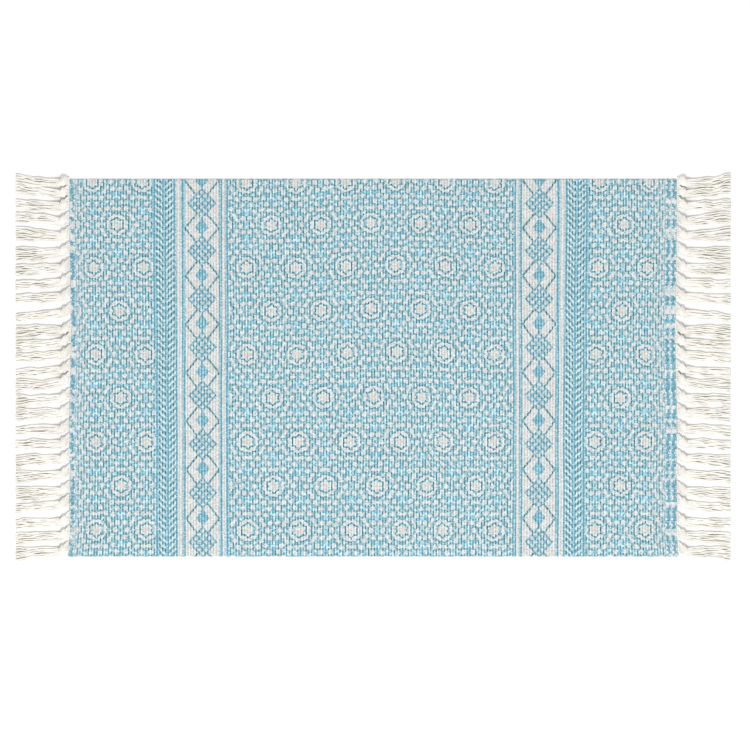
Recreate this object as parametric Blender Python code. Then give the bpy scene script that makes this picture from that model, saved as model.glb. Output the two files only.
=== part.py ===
"""Flatweave cotton runner with a row of knotted tassels at each end.

The runner lies flat on a floor at z = 0. X runs along its length, Y across it,
and the origin is on the floor under the middle of the cloth. The cloth is one
sheet whose thick weft cords show as ribs across it. Each tassel is a bundle of
warp ends tied in one knot, with its strands lying on the floor beyond it.
Sizes are in millimetres up to MM, which turns them to metres.
"""

import math

import bmesh
import bpy

MM = 0.001

# Cloth
CLOTH_LENGTH = 967.0
CLOTH_WIDTH = 600.0
VALLEY_HEIGHT = 2.6
CREST_HEIGHT = 3.6
PLAIN_RIBS = 209
FANNED_RIBS = 8
BOW_REACH = 45.0
EDGE_SCALLOP = 0.8

# The doubled weft cords that close each end of the weave
END_CORD_WIDTH = 9.4
END_CORD_HEIGHT = 4.4
END_CORDS_LEFT = 1
END_CORDS_RIGHT = 2

# How far each end stands from the middle, down the width of the cloth
END_LINE = (
    # y, half length
    (-300.0, 485.5),
    (-260.0, 482.0),
    (-215.0, 483.6),
    (-170.0, 482.0),
    (-95.0, 484.0),
    (-30.0, 482.0),
    (60.0, 480.5),
    (150.0, 482.0),
    (240.0, 483.6),
    (300.0, 483.0),
)

# One rib in section: place across the rib, height above the valley as a share
RIB_SECTION = ((0.0, 0.0), (0.25, 1.0), (0.75, 1.0))
END_CORD_SECTION = ((0.0, 0.0), (0.15, 0.75), (0.35, 1.0), (0.65, 1.0), (0.85, 0.75))

# Tassels
GAP = 0.3
STRANDS = 5
STRAND_HEIGHT = 2.6
STRAND_SHARE = 0.72
STRAND_TOP_SHARE = 0.8
TASSEL_LENGTH = 85.5
KNOT_END = 15.5
KNOT_END_WIDTH = 12.0

# The knot in section along its length: run from the cloth, half width, height
KNOT_SECTIONS = (
    (0.0, 5.5, 3.0),
    (3.0, 8.2, 9.0),
    (8.0, 9.0, 11.5),
    (12.5, 7.6, 9.0),
)
KNOT_END_HEIGHT = 5.0

# Half of the knot's outline in section: share of half width, share of height
KNOT_OUTLINE = ((0.8, 0.0), (1.0, 0.45), (0.55, 1.0))

# The tassels of one end from the far corner to the near one, in millimetres:
# the knot's y, how far the strands drift by mid length and at the tips, and
# how wide the tips spread. The other end has the same ones, mirrored.
TASSELS = (
    # knot, drift at mid, drift at tips, width at tips
    (298.5, -4, 2, 18),
    (279, 1, 6, 13),
    (260, -2, 0, 16),
    (235, 2, 4, 18),
    (212, -2, 2, 21),
    (187, -6, -6, 22),
    (162, -5, -6, 18),
    (139, -6, -6, 13),
    (116, -5, -7, 14),
    (90, -6, -10, 10),
    (62, -3, -7, 21),
    (44, -7, -9, 14),
    (24, -6, -9, 13),
    (0, -7, -8, 13),
    (-18.5, -9, -10, 19),
    (-45, -6, -8, 18),
    (-69, -4, -6, 21),
    (-95, -3, -6, 14),
    (-118, -3, -5, 14),
    (-142, -4, -7, 19),
    (-166, -6, -8, 18),
    (-193, -6, -8, 22),
    (-214, -7, -10, 13),
    (-242, -5, -6, 14),
    (-264, -5, -7, 19),
    (-289, -4, -7, 21),
)

RUG_COLOUR = (0.42, 0.62, 0.68, 1.0)
TASSEL_COLOUR = (0.86, 0.84, 0.78, 1.0)
COTTON_ROUGHNESS = 0.9


def clear_scene():
    for thing in list(bpy.data.objects):
        bpy.data.objects.remove(thing, do_unlink=True)


def cotton(name, colour):
    material = bpy.data.materials.new(name)
    material.use_nodes = True
    shader = material.node_tree.nodes["Principled BSDF"]
    shader.inputs["Base Color"].default_value = colour
    shader.inputs["Roughness"].default_value = COTTON_ROUGHNESS
    shader.inputs["Metallic"].default_value = 0.0
    return material


def finish(name, mesh_tool, material):
    """Turn the millimetre mesh into an object in metres."""
    bmesh.ops.scale(mesh_tool, vec=(MM, MM, MM), verts=mesh_tool.verts)
    bmesh.ops.recalc_face_normals(mesh_tool, faces=mesh_tool.faces)
    mesh = bpy.data.meshes.new(name)
    mesh_tool.to_mesh(mesh)
    mesh_tool.free()
    mesh.materials.append(material)
    thing = bpy.data.objects.new(name, mesh)
    bpy.context.collection.objects.link(thing)
    return thing


def half_length(y):
    """Distance from the middle of the cloth to its end line at this y."""
    y = min(max(y, END_LINE[0][0]), END_LINE[-1][0])
    for (low, near), (high, far) in zip(END_LINE, END_LINE[1:]):
        if y <= high:
            return near + (far - near) * (y - low) / (high - low)
    return END_LINE[-1][1]


def rib_stations():
    """Each line of points across the cloth: x, height, lies in the fanned part."""
    plain_length = CLOTH_LENGTH - (END_CORDS_LEFT + END_CORDS_RIGHT) * END_CORD_WIDTH
    pitch = plain_length / PLAIN_RIBS
    cords = (
        [(END_CORD_WIDTH, END_CORD_SECTION, END_CORD_HEIGHT, True)] * END_CORDS_LEFT
        + [(pitch, RIB_SECTION, CREST_HEIGHT, True)] * FANNED_RIBS
        + [(pitch, RIB_SECTION, CREST_HEIGHT, False)] * (PLAIN_RIBS - 2 * FANNED_RIBS)
        + [(pitch, RIB_SECTION, CREST_HEIGHT, True)] * FANNED_RIBS
        + [(END_CORD_WIDTH, END_CORD_SECTION, END_CORD_HEIGHT, True)] * END_CORDS_RIGHT
    )
    x = -CLOTH_LENGTH / 2
    stations = []
    for width, section, crest, fanned in cords:
        for place, rise in section:
            height = VALLEY_HEIGHT + rise * (crest - VALLEY_HEIGHT)
            stations.append((x + place * width, height, fanned))
        x += width
    stations.append((CLOTH_LENGTH / 2, VALLEY_HEIGHT, True))
    return stations


def bowed(x, y):
    """Move a point of a fanned rib with the end line that it runs beside."""
    straight = CLOTH_LENGTH / 2
    share = min(max((abs(x) - straight + BOW_REACH) / BOW_REACH, 0.0), 1.0)
    return x + math.copysign(1.0, x) * share * (half_length(y) - straight)


def make_rug(material):
    """The cloth: ribbed on top, flat underneath, with the same lines of points on both."""
    shape = bmesh.new()
    inner = [y for y, _ in END_LINE[1:-1]]
    tops = []
    floors = []
    for x, height, fanned in rib_stations():
        scallop = EDGE_SCALLOP if height == VALLEY_HEIGHT else 0.0
        side = CLOTH_WIDTH / 2 - scallop
        across = [-side] + (inner if fanned else []) + [side]
        tops.append([shape.verts.new((bowed(x, y), y, height)) for y in across])
        floors.append([shape.verts.new((bowed(x, y), y, 0.0)) for y in across])
    for layer in (tops, floors):
        for near, far in zip(layer, layer[1:]):
            if len(near) == len(far):
                for k in range(len(near) - 1):
                    shape.faces.new((near[k], far[k], far[k + 1], near[k + 1]))
            else:
                shape.faces.new(near[::-1] + far)
    for edge in (0, -1):
        for number in range(len(tops) - 1):
            upper = (tops[number + 1][edge], tops[number][edge])
            lower = (floors[number][edge], floors[number + 1][edge])
            shape.faces.new(upper + lower)
        for k in range(len(tops[edge]) - 1):
            upper = (tops[edge][k], tops[edge][k + 1])
            lower = (floors[edge][k + 1], floors[edge][k])
            shape.faces.new(upper + lower)
    return finish("rug", shape, material)


def knot_loop(shape, run, half_width, height, y_middle):
    """One section of the knot, from the floor on one side over the top to the other."""
    outline = KNOT_OUTLINE + tuple((-w, h) for w, h in reversed(KNOT_OUTLINE))
    points = []
    for w, h in outline:
        y = y_middle + w * half_width
        points.append(shape.verts.new((half_length(y) + GAP + run, y, h * height)))
    return points


def strand_loop(shape, x, y_middle, pitch):
    """One four-sided section of a strand: low left, high left, high right, low right."""
    half = pitch * STRAND_SHARE / 2
    corners = ((-1, 0), (-STRAND_TOP_SHARE, 1), (STRAND_TOP_SHARE, 1), (1, 0))
    return [shape.verts.new((x, y_middle + w * half, h * STRAND_HEIGHT)) for w, h in corners]


def skin(shape, near, far, closed=False):
    """Faces between two sections with the same number of points."""
    for k in range(len(near) if closed else len(near) - 1):
        j = (k + 1) % len(near)
        shape.faces.new((near[k], far[k], far[j], near[j]))


def make_tassel(name, row, side, material):
    """One tassel at the +X end; side -1 mirrors it to the other end."""
    knot_y, mid_drift, tip_drift, tip_width = row
    shape = bmesh.new()
    sections = [knot_loop(shape, run, half, high, knot_y) for run, half, high in KNOT_SECTIONS]
    root_x = half_length(knot_y) + GAP + KNOT_END
    root_y = knot_y + mid_drift * KNOT_END / TASSEL_LENGTH
    sections.append(knot_loop(shape, 0.0, KNOT_END_WIDTH / 2, KNOT_END_HEIGHT, root_y))
    for vert in sections[-1]:
        vert.co.x = root_x
    shape.faces.new(sections[0])
    for near, far in zip(sections, sections[1:]):
        skin(shape, near, far)

    places = [number - (STRANDS - 1) / 2 for number in range(STRANDS)]
    root_pitch = KNOT_OUTLINE[0][0] * KNOT_END_WIDTH / STRANDS
    roots = [strand_loop(shape, root_x, root_y + place * root_pitch, root_pitch) for place in places]
    comb = [vert for root in roots for vert in root]
    shape.faces.new(sections[-1] + comb)
    floor_side = [section[0] for section in sections]
    far_side = [section[-1] for section in reversed(sections)]
    comb_floor = [vert for vert in reversed(comb) if vert.co.z == 0.0]
    shape.faces.new(floor_side + comb_floor + far_side)

    tip_pitch = tip_width / STRANDS
    tip_x = CLOTH_LENGTH / 2 + GAP + TASSEL_LENGTH
    mid_x = (root_x + tip_x) / 2
    mid_pitch = (root_pitch + tip_pitch) / 2
    for place, root in zip(places, roots):
        middle = strand_loop(shape, mid_x, knot_y + mid_drift + place * mid_pitch, mid_pitch)
        tip = strand_loop(shape, tip_x, knot_y + tip_drift + place * tip_pitch, tip_pitch)
        skin(shape, root, middle, closed=True)
        skin(shape, middle, tip, closed=True)
        shape.faces.new(tip)
    if side < 0:
        for vert in shape.verts:
            vert.co.x = -vert.co.x
    return finish(name, shape, material)


def main():
    clear_scene()
    weave = cotton("rug cotton", RUG_COLOUR)
    ivory = cotton("ivory cotton", TASSEL_COLOUR)
    make_rug(weave)
    for word, side in (("left", -1), ("right", 1)):
        for number, row in enumerate(TASSELS, 1):
            make_tassel(f"tassel_{word}_{number:02d}", row, side, ivory)


main()
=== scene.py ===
"""Looks of the flatweave cotton runner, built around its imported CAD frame.

The cloth is one ribbed sheet, and each tassel is one piece of its own: twelve
yarns that leave the cloth, pass through a knot and lie on the floor. Geometry
Nodes make both from the same named sizes as the solids. The cloth's pattern is
worked out by formula from the sizes of one repeat, in millimetres.
"""

import math

import bpy
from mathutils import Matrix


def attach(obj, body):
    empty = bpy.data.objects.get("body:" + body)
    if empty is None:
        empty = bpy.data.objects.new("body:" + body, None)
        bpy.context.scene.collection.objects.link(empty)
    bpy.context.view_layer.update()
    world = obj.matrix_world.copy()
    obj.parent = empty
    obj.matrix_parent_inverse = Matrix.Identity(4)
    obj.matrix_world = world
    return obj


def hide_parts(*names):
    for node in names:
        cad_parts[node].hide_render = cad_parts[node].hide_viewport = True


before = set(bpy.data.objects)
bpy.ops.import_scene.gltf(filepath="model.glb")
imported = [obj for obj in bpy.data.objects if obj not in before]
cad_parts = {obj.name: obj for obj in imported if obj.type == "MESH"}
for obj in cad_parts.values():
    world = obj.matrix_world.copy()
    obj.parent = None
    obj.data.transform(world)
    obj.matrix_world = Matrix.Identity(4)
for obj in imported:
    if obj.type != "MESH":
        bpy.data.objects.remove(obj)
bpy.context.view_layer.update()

MM = 0.001

# Cloth, in millimetres: the solids' sizes, but for a deeper scallop and a longer bow at the ends
CLOTH_LENGTH = 967.0
CLOTH_WIDTH = 600.0
RIBS = 209
END_CORD_WIDTH = 9.4
END_CORDS_LEFT = 1
END_CORDS_RIGHT = 2
RIB_PITCH = (CLOTH_LENGTH - (END_CORDS_LEFT + END_CORDS_RIGHT) * END_CORD_WIDTH) / RIBS
CREST = 3.6
END_CREST = 4.4
VALLEY = 2.6
SCALLOP = 1.2
EDGE_TURN = 0.5
BOW_REACH = 120.0
WELD = 0.01

# A rib's rise: the power of a sine that it follows, and the lowest rib as a share of the highest
RIB_POWER = 0.7
LOWEST_RIB = 0.78

# How far the ribs wander, their noise's scale per metre, and where it dies away from the middle
WANDER = 5.0
WANDER_SCALE = 6.0
WANDER_FADE = (300.0, 470.0)

# Lines of points in the cloth's mesh
STEPS_PER_RIB = 5
STEPS_PER_END_CORD = 10
INNER_ROWS = 15
EDGE_ROWS = 3
EDGE_ROUNDING = 2.0

# How far each end stands from the middle, down the width of the cloth
END_LINE = (
    # y, half length
    (-300.0, 485.5),
    (-260.0, 482.0),
    (-215.0, 483.6),
    (-170.0, 482.0),
    (-95.0, 484.0),
    (-30.0, 482.0),
    (60.0, 480.5),
    (150.0, 482.0),
    (240.0, 483.6),
    (300.0, 483.0),
)

# Tassels from the far long edge to the near one, the same at both ends:
# the knot's y, how far the yarns drift by mid length and at the tips, and
# how wide the tips spread
TASSELS = (
    (297, -3, 3, 17),
    (279, 1, 6, 13),
    (260, -2, 0, 16),
    (235, 2, 4, 18),
    (212, -2, 2, 21),
    (187, -6, -6, 22),
    (162, -5, -6, 18),
    (139, -6, -6, 13),
    (116, -5, -7, 14),
    (90, -6, -10, 10),
    (62, -3, -7, 21),
    (44, -7, -9, 14),
    (24, -6, -9, 13),
    (0, -7, -8, 13),
    (-18.5, -9, -10, 19),
    (-45, -6, -8, 18),
    (-69, -4, -6, 21),
    (-95, -3, -6, 14),
    (-118, -3, -5, 14),
    (-142, -4, -7, 19),
    (-166, -6, -8, 18),
    (-193, -6, -8, 22),
    (-214, -7, -10, 13),
    (-242, -5, -6, 14),
    (-264, -5, -7, 19),
    (-289, -4, -7, 21),
)
YARNS = 12
YARN_RADIUS = 1.25
YARN_POINTS = 28
CLOSER_AT_KNOT = 1.25
YARN_SIDES = 6
TIP_LINE = 568.4
UNEVEN_TIPS = 0.9
ROOT_GAP = 0.05
ROOT_WIDTH = 18.5
ROOT_RISE = 4.5
EDGE_MARGIN = 3.0

# Where each change along a tassel starts and ends, in millimetres from the cloth
GATHER = (0.0, 8.5)
LOOSEN = (11.0, 22.0)
FAN_OUT = (16.0, 75.0)
SLANT = (0.0, 14.0)
SETTLE = (16.0, 40.0)
TO_MID = (5.0, 50.0)
TO_TIP = (50.0, 86.0)
STRAY = (14.0, 45.0)
CLIMB = (0.0, 6.0)
FALL = (12.0, 26.0)
UNBIND = (12.0, 20.0)

# Widths across a tassel, in millimetres
KNOT_WAIST = 9.5
LOOSENED = 2.5
KNOT_SLANT = 2.5
STRAY_WIDTH = 9.0

# Two layers of yarn: the step between them, and the height of the lower one
CLOTH_LAYERS = (0.9, 1.5)
KNOT_LAYERS = (3.4, 4.0)
FLOOR_LAYERS = (1.75, YARN_RADIUS + 0.05)

# The band wound round the knot, in millimetres; its tilt is in radians
KNOT_RINGS = 5
RING_POINTS = 20
RING_STEP = 2.1
RING_HALF_WIDTH = 7.2
RING_HALF_HEIGHT = 4.2
RING_TAPER = -0.055
RING_TILT = (0.42, 0.78)
BAND_RADIUS = 1.5
KNOT_RUN = 9.2
KNOT_MIDDLE = 5.75

# How far apart the ridges of plied yarn are, in millimetres: the cords', and the tassels'
CORD_PLY = 2.4
YARN_PLY = 2.6

# The printed pattern, in millimetres: its mirror line, and one repeat of each band.
# A soft edge runs from the first size of a pair to the second.
MIRROR_X = -4.1
ROSETTE_PITCH = 79.4
ROSETTE_ROW = 69.46
ROSETTE_Y = -47.9
DISC_LOBES = 0.8
DISC_EDGE = (16.4, 17.4)
MOAT_EDGE = (18.4, 20.4)
STAR_WAIST = 9.0
STAR_POINTS = 3.1
STAR_LINE = (1.1, 1.9)
CENTRE_EDGE = (6.4, 8.0)
HEART_EDGE = (5.0, 9.0)
DIAMOND_PITCH = 77.13
DIAMOND_Y = -5.6
DIAMOND_CENTRE = 268.7
DIAMOND_HALF = 26.4
EYE_REACH = 26.0
EYE_SLOPE = 0.77
EYE_LINE = (1.2, 2.3)
SOLID_REACH = 10.6
SOLID_SLOPE = 0.74
STEM_EDGE = (0.9, 1.9)
LATTICE_PITCH = 10.6
CELL_EDGE = (2.6, 3.9)
HERRINGBONE_CENTRE = 324.3
HERRINGBONE_PITCH = 10.3
COLUMN_PLACE = 7.6
COLUMN_HALF = 5.7
BAND_START = 227.5
BAND_END = 342.5
BAND_HALF = (BAND_END - BAND_START) / 2
BAND_MIDDLE = BAND_START + BAND_HALF

# How far the print follows half a rib, as a share, in the field and in the bands, and the most
# that one half rib is out of line with the next
FIELD_SNAP = 0.75
BAND_SNAP = 0.25
JOLT = 2.2

# How far the print is pulled out of true, in millimetres: place, and how far it is moved there
LEAN = (
    # from the mirror line, outward at the far edge
    (0.0, 0.0),
    (239.0, 0.0),
    (300.0, 2.5),
    (327.0, 5.9),
    (398.0, 7.6),
    (443.0, 6.4),
    (481.0, 1.5),
    (500.0, 0.0),
)
EASE = (
    # from the mirror line, inward at every y
    (0.0, 0.0),
    (100.0, 0.3),
    (215.0, 1.2),
    (262.0, 1.2),
    (310.0, 1.9),
    (358.0, 0.7),
    (406.0, 0.0),
    (500.0, 0.0),
)
PULL_START = (
    # x, to the right in the near half
    (-300.0, 0.0),
    (-240.0, 1.0),
    (-164.0, 3.8),
    (-117.0, 5.8),
    (-69.0, 7.9),
)
PULL_END = ((230.0, 0.0), (300.0, 0.0))
PULLS = (
    # the second line is for one row alone
    PULL_START + ((46.0, 11.0), (110.0, -4.9), (193.0, -1.1)) + PULL_END,
    PULL_START + ((46.0, 10.6), (165.0, 10.4), (205.0, 2.0)) + PULL_END,
)
SAG = (
    # y, towards the near edge
    (-300.0, 3.0),
    (-251.0, 2.2),
    (-200.0, 1.3),
    (-149.0, 0.7),
    (-47.0, 0.3),
    (4.0, 0.8),
    (106.0, 1.3),
    (157.0, 1.9),
    (208.0, 2.8),
    (250.0, 5.0),
    (300.0, 6.5),
)

# The rows, as y, over which each of these grows from nothing to all of it, and the row pulled alone
LEAN_ROWS = (-84.0, 278.0)
PULL_ROWS = (100.0, -180.0)
PULLED_ROW = -189.0
PULLED_EDGE = (18.0, 56.0)

# The sag is smaller beyond the field's middle, and a hump lifts the rows towards the far edge
SAG_EDGE = (220.0, 245.0)
SAG_BEYOND = 0.5625
HUMP_X = 30.0
HUMP_REACH = 180.0
HUMP_HEIGHT = 5.2
HUMP_ROWS = (-118.0, 20.0)

# Stripes outward from the mirror line: where each starts, and 1 for cream, 0 for blue
STRIPES = (
    (227.5, 0),
    (232.4, 1),
    (237.3, 0),
    (242.5, 1),
    (295.0, 0),
    (300.5, 1),
    (307.5, 0),
)

# The white floor and studio, in metres
FLOOR_REACH = 12.0
FLOOR_LEVEL = -0.0001
SKY_STRENGTH = 0.72
LAMP_POWER = 85.0
LAMP_SIZE = 0.6
LAMP_PLACE = (0.0, -1.8, 3.9)
LAMP_TILT = math.radians(25)
SENSOR_WIDTH = 36.0
LENS = 362.2
CAMERA_PLACE = (0.0029, -0.0114, 12.0)

# Kinds of node that come up often
VECTOR_MATH = "ShaderNodeVectorMath"
MIX = "ShaderNodeMix"
RANGE = "ShaderNodeMapRange"
COMBINE = "ShaderNodeCombineXYZ"
SEPARATE = "ShaderNodeSeparateXYZ"
ATTRIBUTE = "ShaderNodeAttribute"
NOISE = "ShaderNodeTexNoise"
SET_POSITION = "GeometryNodeSetPosition"

# The same with the one setting that tells them apart
BLEND = (MIX, "data_type", "RGBA")
SMOOTH_RANGE = (RANGE, "interpolation_type", "SMOOTHSTEP")
SCALE = (VECTOR_MATH, "operation", "SCALE")
RANDOM = ("FunctionNodeRandomValue", "data_type", "FLOAT")
ABSOLUTE, ADD, ARCTAN2, COMPARE, COSINE, DIVIDE, FLOOR, FLOORED_MODULO = (
    ("ShaderNodeMath", "operation", word)
    for word in (
        "ABSOLUTE", "ADD", "ARCTAN2", "COMPARE", "COSINE", "DIVIDE", "FLOOR", "FLOORED_MODULO",
    )
)
FRACT, GREATER_THAN, LESS_THAN, MAXIMUM, MINIMUM, MULTIPLY, MULTIPLY_ADD, PINGPONG = (
    ("ShaderNodeMath", "operation", word)
    for word in (
        "FRACT", "GREATER_THAN", "LESS_THAN", "MAXIMUM", "MINIMUM", "MULTIPLY", "MULTIPLY_ADD",
        "PINGPONG",
    )
)
POWER, ROUND, SIGN, SINE, SQRT, SUBTRACT, WRAP = (
    ("ShaderNodeMath", "operation", word)
    for word in ("POWER", "ROUND", "SIGN", "SINE", "SQRT", "SUBTRACT", "WRAP")
)


def add_node(tree, kind, *feeds, **settings):
    """Add a node, give it its settings, and link or set its open inputs in order."""
    if isinstance(kind, tuple):
        kind, setting, choice = kind
        settings[setting] = choice
    node = tree.nodes.new(kind)
    for name, value in settings.items():
        setattr(node, name, value)
    sockets = [socket for socket in node.inputs if socket.enabled]
    for socket, feed in zip(sockets, feeds):
        if isinstance(feed, bpy.types.NodeSocket):
            tree.links.new(feed, socket)
        elif feed is not None:
            socket.default_value = feed
    outputs = [socket for socket in node.outputs if socket.enabled]
    return outputs[0] if len(outputs) == 1 else outputs


def look_up(tree, place, table, unit=1.0):
    """A table's value at this place, with straight runs from point to point."""
    places, values = zip(*table)
    first, last, low, high = places[0], places[-1], min(values), max(values)
    share = add_node(tree, RANGE, place, first * unit, last * unit, 0.0, 1.0)
    curve = add_node(tree, "ShaderNodeFloatCurve", 1.0, share)
    points = [((at - first) / (last - first), (value - low) / (high - low)) for at, value in table]
    mapping = curve.node.mapping
    line = mapping.curves[0]
    line.points[0].location = points[0]
    line.points[1].location = points[-1]
    for point in points[1:-1]:
        line.points.new(*point)
    for point in line.points:
        point.handle_type = "VECTOR"
    mapping.update()
    return add_node(tree, RANGE, curve, 0.0, 1.0, low * unit, high * unit)


def new_tree(name, kind, inputs, outputs):
    """A node group with these named inputs and outputs, and its two end nodes."""
    tree = bpy.data.node_groups.new(name, kind)
    for label, socket_type in inputs:
        tree.interface.new_socket(label, in_out="INPUT", socket_type="NodeSocket" + socket_type)
    for label, socket_type in outputs:
        tree.interface.new_socket(label, in_out="OUTPUT", socket_type="NodeSocket" + socket_type)
    return tree, tree.nodes.new("NodeGroupInput").outputs, tree.nodes.new("NodeGroupOutput").inputs


def repeat_curve(tree, curve, points, copies):
    """Copies of a curve that has this many points, and the number of the copy that a point is on."""
    spots = add_node(tree, "GeometryNodePoints", copies)
    curves = add_node(tree, "GeometryNodeInstanceOnPoints", spots, None, curve)
    curves = add_node(tree, "GeometryNodeRealizeInstances", curves)
    number = add_node(tree, DIVIDE, add_node(tree, "GeometryNodeInputIndex"), float(points))
    return curves, add_node(tree, FLOOR, number)


def finish_tree(tree, shape, material, result):
    """Shade the shape smooth, make it real and give it its material."""
    shape = add_node(tree, "GeometryNodeSetShadeSmooth", shape)
    shape = add_node(tree, "GeometryNodeRealizeInstances", shape)
    shape = add_node(tree, "GeometryNodeSetMaterial", shape, None, material)
    tree.links.new(shape, result[0])
    return tree


def metres(millimetres):
    """Sizes in millimetres, as metres."""
    return tuple(size * MM for size in millimetres)


def linear(hex_colour):
    """An sRGB hex colour as linear RGBA."""
    shares = [int(hex_colour[k : k + 2], 16) / 255 for k in (1, 3, 5)]
    return tuple(s / 12.92 if s < 0.04045 else ((s + 0.055) / 1.055) ** 2.4 for s in shares) + (1.0,)


def half_length(y):
    """Distance from the middle of the cloth to its end line at this y."""
    y = min(max(y, END_LINE[0][0]), END_LINE[-1][0])
    for (low, near), (high, far) in zip(END_LINE, END_LINE[1:]):
        if y <= high:
            return near + (far - near) * (y - low) / (high - low)
    return END_LINE[-1][1]


def grow(name, tree, sizes):
    """Run a Geometry Nodes tree with its inputs set, and keep the result as a plain mesh."""
    maker = bpy.data.objects.new(name + "_maker", bpy.data.meshes.new(name + "_maker"))
    bpy.context.collection.objects.link(maker)
    modifier = maker.modifiers.new("grow", "NODES")
    modifier.node_group = tree
    for item in tree.interface.items_tree:
        if item.item_type == "SOCKET" and item.in_out == "INPUT" and item.name in sizes:
            modifier[item.identifier] = sizes[item.name]
    graph = bpy.context.evaluated_depsgraph_get()
    mesh = bpy.data.meshes.new_from_object(
        maker.evaluated_get(graph), preserve_all_data_layers=True, depsgraph=graph
    )
    maker.modifiers.clear()
    bpy.data.objects.remove(maker, do_unlink=True)
    mesh.name = name
    piece = bpy.data.objects.new(name, mesh)
    bpy.context.collection.objects.link(piece)
    return piece


def ribbed_cloth_tree():
    """The cloth: a grid whose columns follow the ribs, bowed at both ends, closed underneath."""
    tree, given, result = new_tree(
        "ribbed cloth",
        "GeometryNodeTree",
        (
            ("Rib pitch", "Float"), ("Ribs", "Int"), ("End cord width", "Float"),
            ("Half width", "Float"), ("Crest", "Float"), ("End crest", "Float"), ("Valley", "Float"),
            ("Material", "Material"),
        ),
        (("Cloth", "Geometry"),),
    )
    pitch, ribs, cord_width, half_width, crest, end_crest, valley, material = given[:8]
    left = END_CORDS_LEFT * STEPS_PER_END_CORD
    right = END_CORDS_RIGHT * STEPS_PER_END_CORD
    rows = 2 * (INNER_ROWS + EDGE_ROWS)
    rib_steps = add_node(tree, MULTIPLY, ribs, STEPS_PER_RIB)
    last_rib = add_node(tree, ADD, rib_steps, left)
    last = add_node(tree, ADD, last_rib, right)
    columns = add_node(tree, ADD, last, 1.0)
    grid = add_node(tree, "GeometryNodeMeshGrid", 1.0, 1.0, columns, rows + 1)
    across, along, _ = add_node(tree, SEPARATE, add_node(tree, "GeometryNodeInputPosition"))
    share = add_node(tree, ADD, across, 0.5)
    step = add_node(tree, ROUND, add_node(tree, MULTIPLY, share, last))

    # Length: one run of end cord, then the ribs, then the end cords at the far side
    left_width = add_node(tree, MULTIPLY, cord_width, END_CORDS_LEFT)
    right_width = add_node(tree, MULTIPLY, cord_width, END_CORDS_RIGHT)
    ribbed_width = add_node(tree, MULTIPLY, pitch, ribs)
    in_left = add_node(tree, RANGE, step, 0.0, left, 0.0, left_width)
    in_ribs = add_node(tree, RANGE, step, left, last_rib, 0.0, ribbed_width)
    in_right = add_node(tree, RANGE, step, last_rib, last, 0.0, right_width)
    run = add_node(tree, ADD, in_left, in_ribs)
    run = add_node(tree, ADD, run, in_right)
    x = add_node(tree, SUBTRACT, run, CLOTH_LENGTH / 2 * MM)

    # Width: even rows, and a few close ones where each long edge rounds over
    row = add_node(tree, ROUND, add_node(tree, MULTIPLY, along, rows))
    row = add_node(tree, ABSOLUTE, row)
    flat_half = add_node(tree, SUBTRACT, half_width, EDGE_ROUNDING * MM)
    flat = add_node(tree, RANGE, row, 0.0, float(INNER_ROWS), 0.0, flat_half)
    turn = add_node(tree, RANGE, row, float(INNER_ROWS), float(INNER_ROWS + EDGE_ROWS), 0.0, 1.0)
    rounded = add_node(tree, MULTIPLY, turn, EDGE_ROUNDING * MM)
    y_size = add_node(tree, ADD, flat, rounded)
    y_side = add_node(tree, SIGN, along)

    # Height: a round crest on each rib and a higher one on each end cord
    rib_phase = add_node(tree, DIVIDE, add_node(tree, SUBTRACT, step, left), STEPS_PER_RIB)
    left_phase = add_node(tree, DIVIDE, step, STEPS_PER_END_CORD)
    right_phase = add_node(tree, DIVIDE, add_node(tree, SUBTRACT, step, last_rib), STEPS_PER_END_CORD)
    on_left = add_node(tree, LESS_THAN, step, left)
    on_right = add_node(tree, GREATER_THAN, step, last_rib)
    on_cord = add_node(tree, MAXIMUM, on_left, on_right)
    phase = add_node(tree, MIX, on_left, rib_phase, left_phase)
    phase = add_node(tree, MIX, on_right, phase, right_phase)
    turned = add_node(tree, MULTIPLY, phase, math.pi)
    rise = add_node(tree, ABSOLUTE, add_node(tree, SINE, turned))
    rise = add_node(tree, POWER, rise, RIB_POWER)
    rib_number = add_node(tree, FLOOR, rib_phase)
    uneven, _ = add_node(tree, "ShaderNodeTexWhiteNoise", rib_number, noise_dimensions="1D")
    uneven = add_node(tree, RANGE, uneven, 0.0, 1.0, LOWEST_RIB, 1.0)
    rise = add_node(tree, MULTIPLY, rise, uneven)
    top_crest = add_node(tree, MIX, on_cord, crest, end_crest)
    relief = add_node(tree, SUBTRACT, top_crest, valley)
    top = add_node(tree, MULTIPLY_ADD, rise, relief, valley)
    low = add_node(tree, SUBTRACT, crest, valley)
    sunk = add_node(tree, SUBTRACT, 1.0, rise)
    bottom = add_node(tree, MULTIPLY, sunk, low)
    middle = add_node(tree, MULTIPLY, crest, 0.5)

    # Top and underside close on one line round the edge
    rounding = add_node(tree, MULTIPLY, turn, turn)
    body = add_node(tree, SQRT, add_node(tree, SUBTRACT, 1.0, rounding))
    first = add_node(tree, GREATER_THAN, step, 0.5)
    inner_last = add_node(tree, SUBTRACT, last, 0.5)
    before_last = add_node(tree, LESS_THAN, step, inner_last)
    body = add_node(tree, MULTIPLY, body, first)
    body = add_node(tree, MULTIPLY, body, before_last)

    # Long edges scallop in at each valley
    notch = add_node(tree, MULTIPLY, sunk, SCALLOP * MM)
    near_edge = add_node(tree, RANGE, row, INNER_ROWS - 1.0, float(INNER_ROWS), 0.0, 1.0)
    notch = add_node(tree, MULTIPLY, notch, near_edge)
    y_size = add_node(tree, SUBTRACT, y_size, notch)
    y = add_node(tree, MULTIPLY, y_size, y_side)

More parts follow.
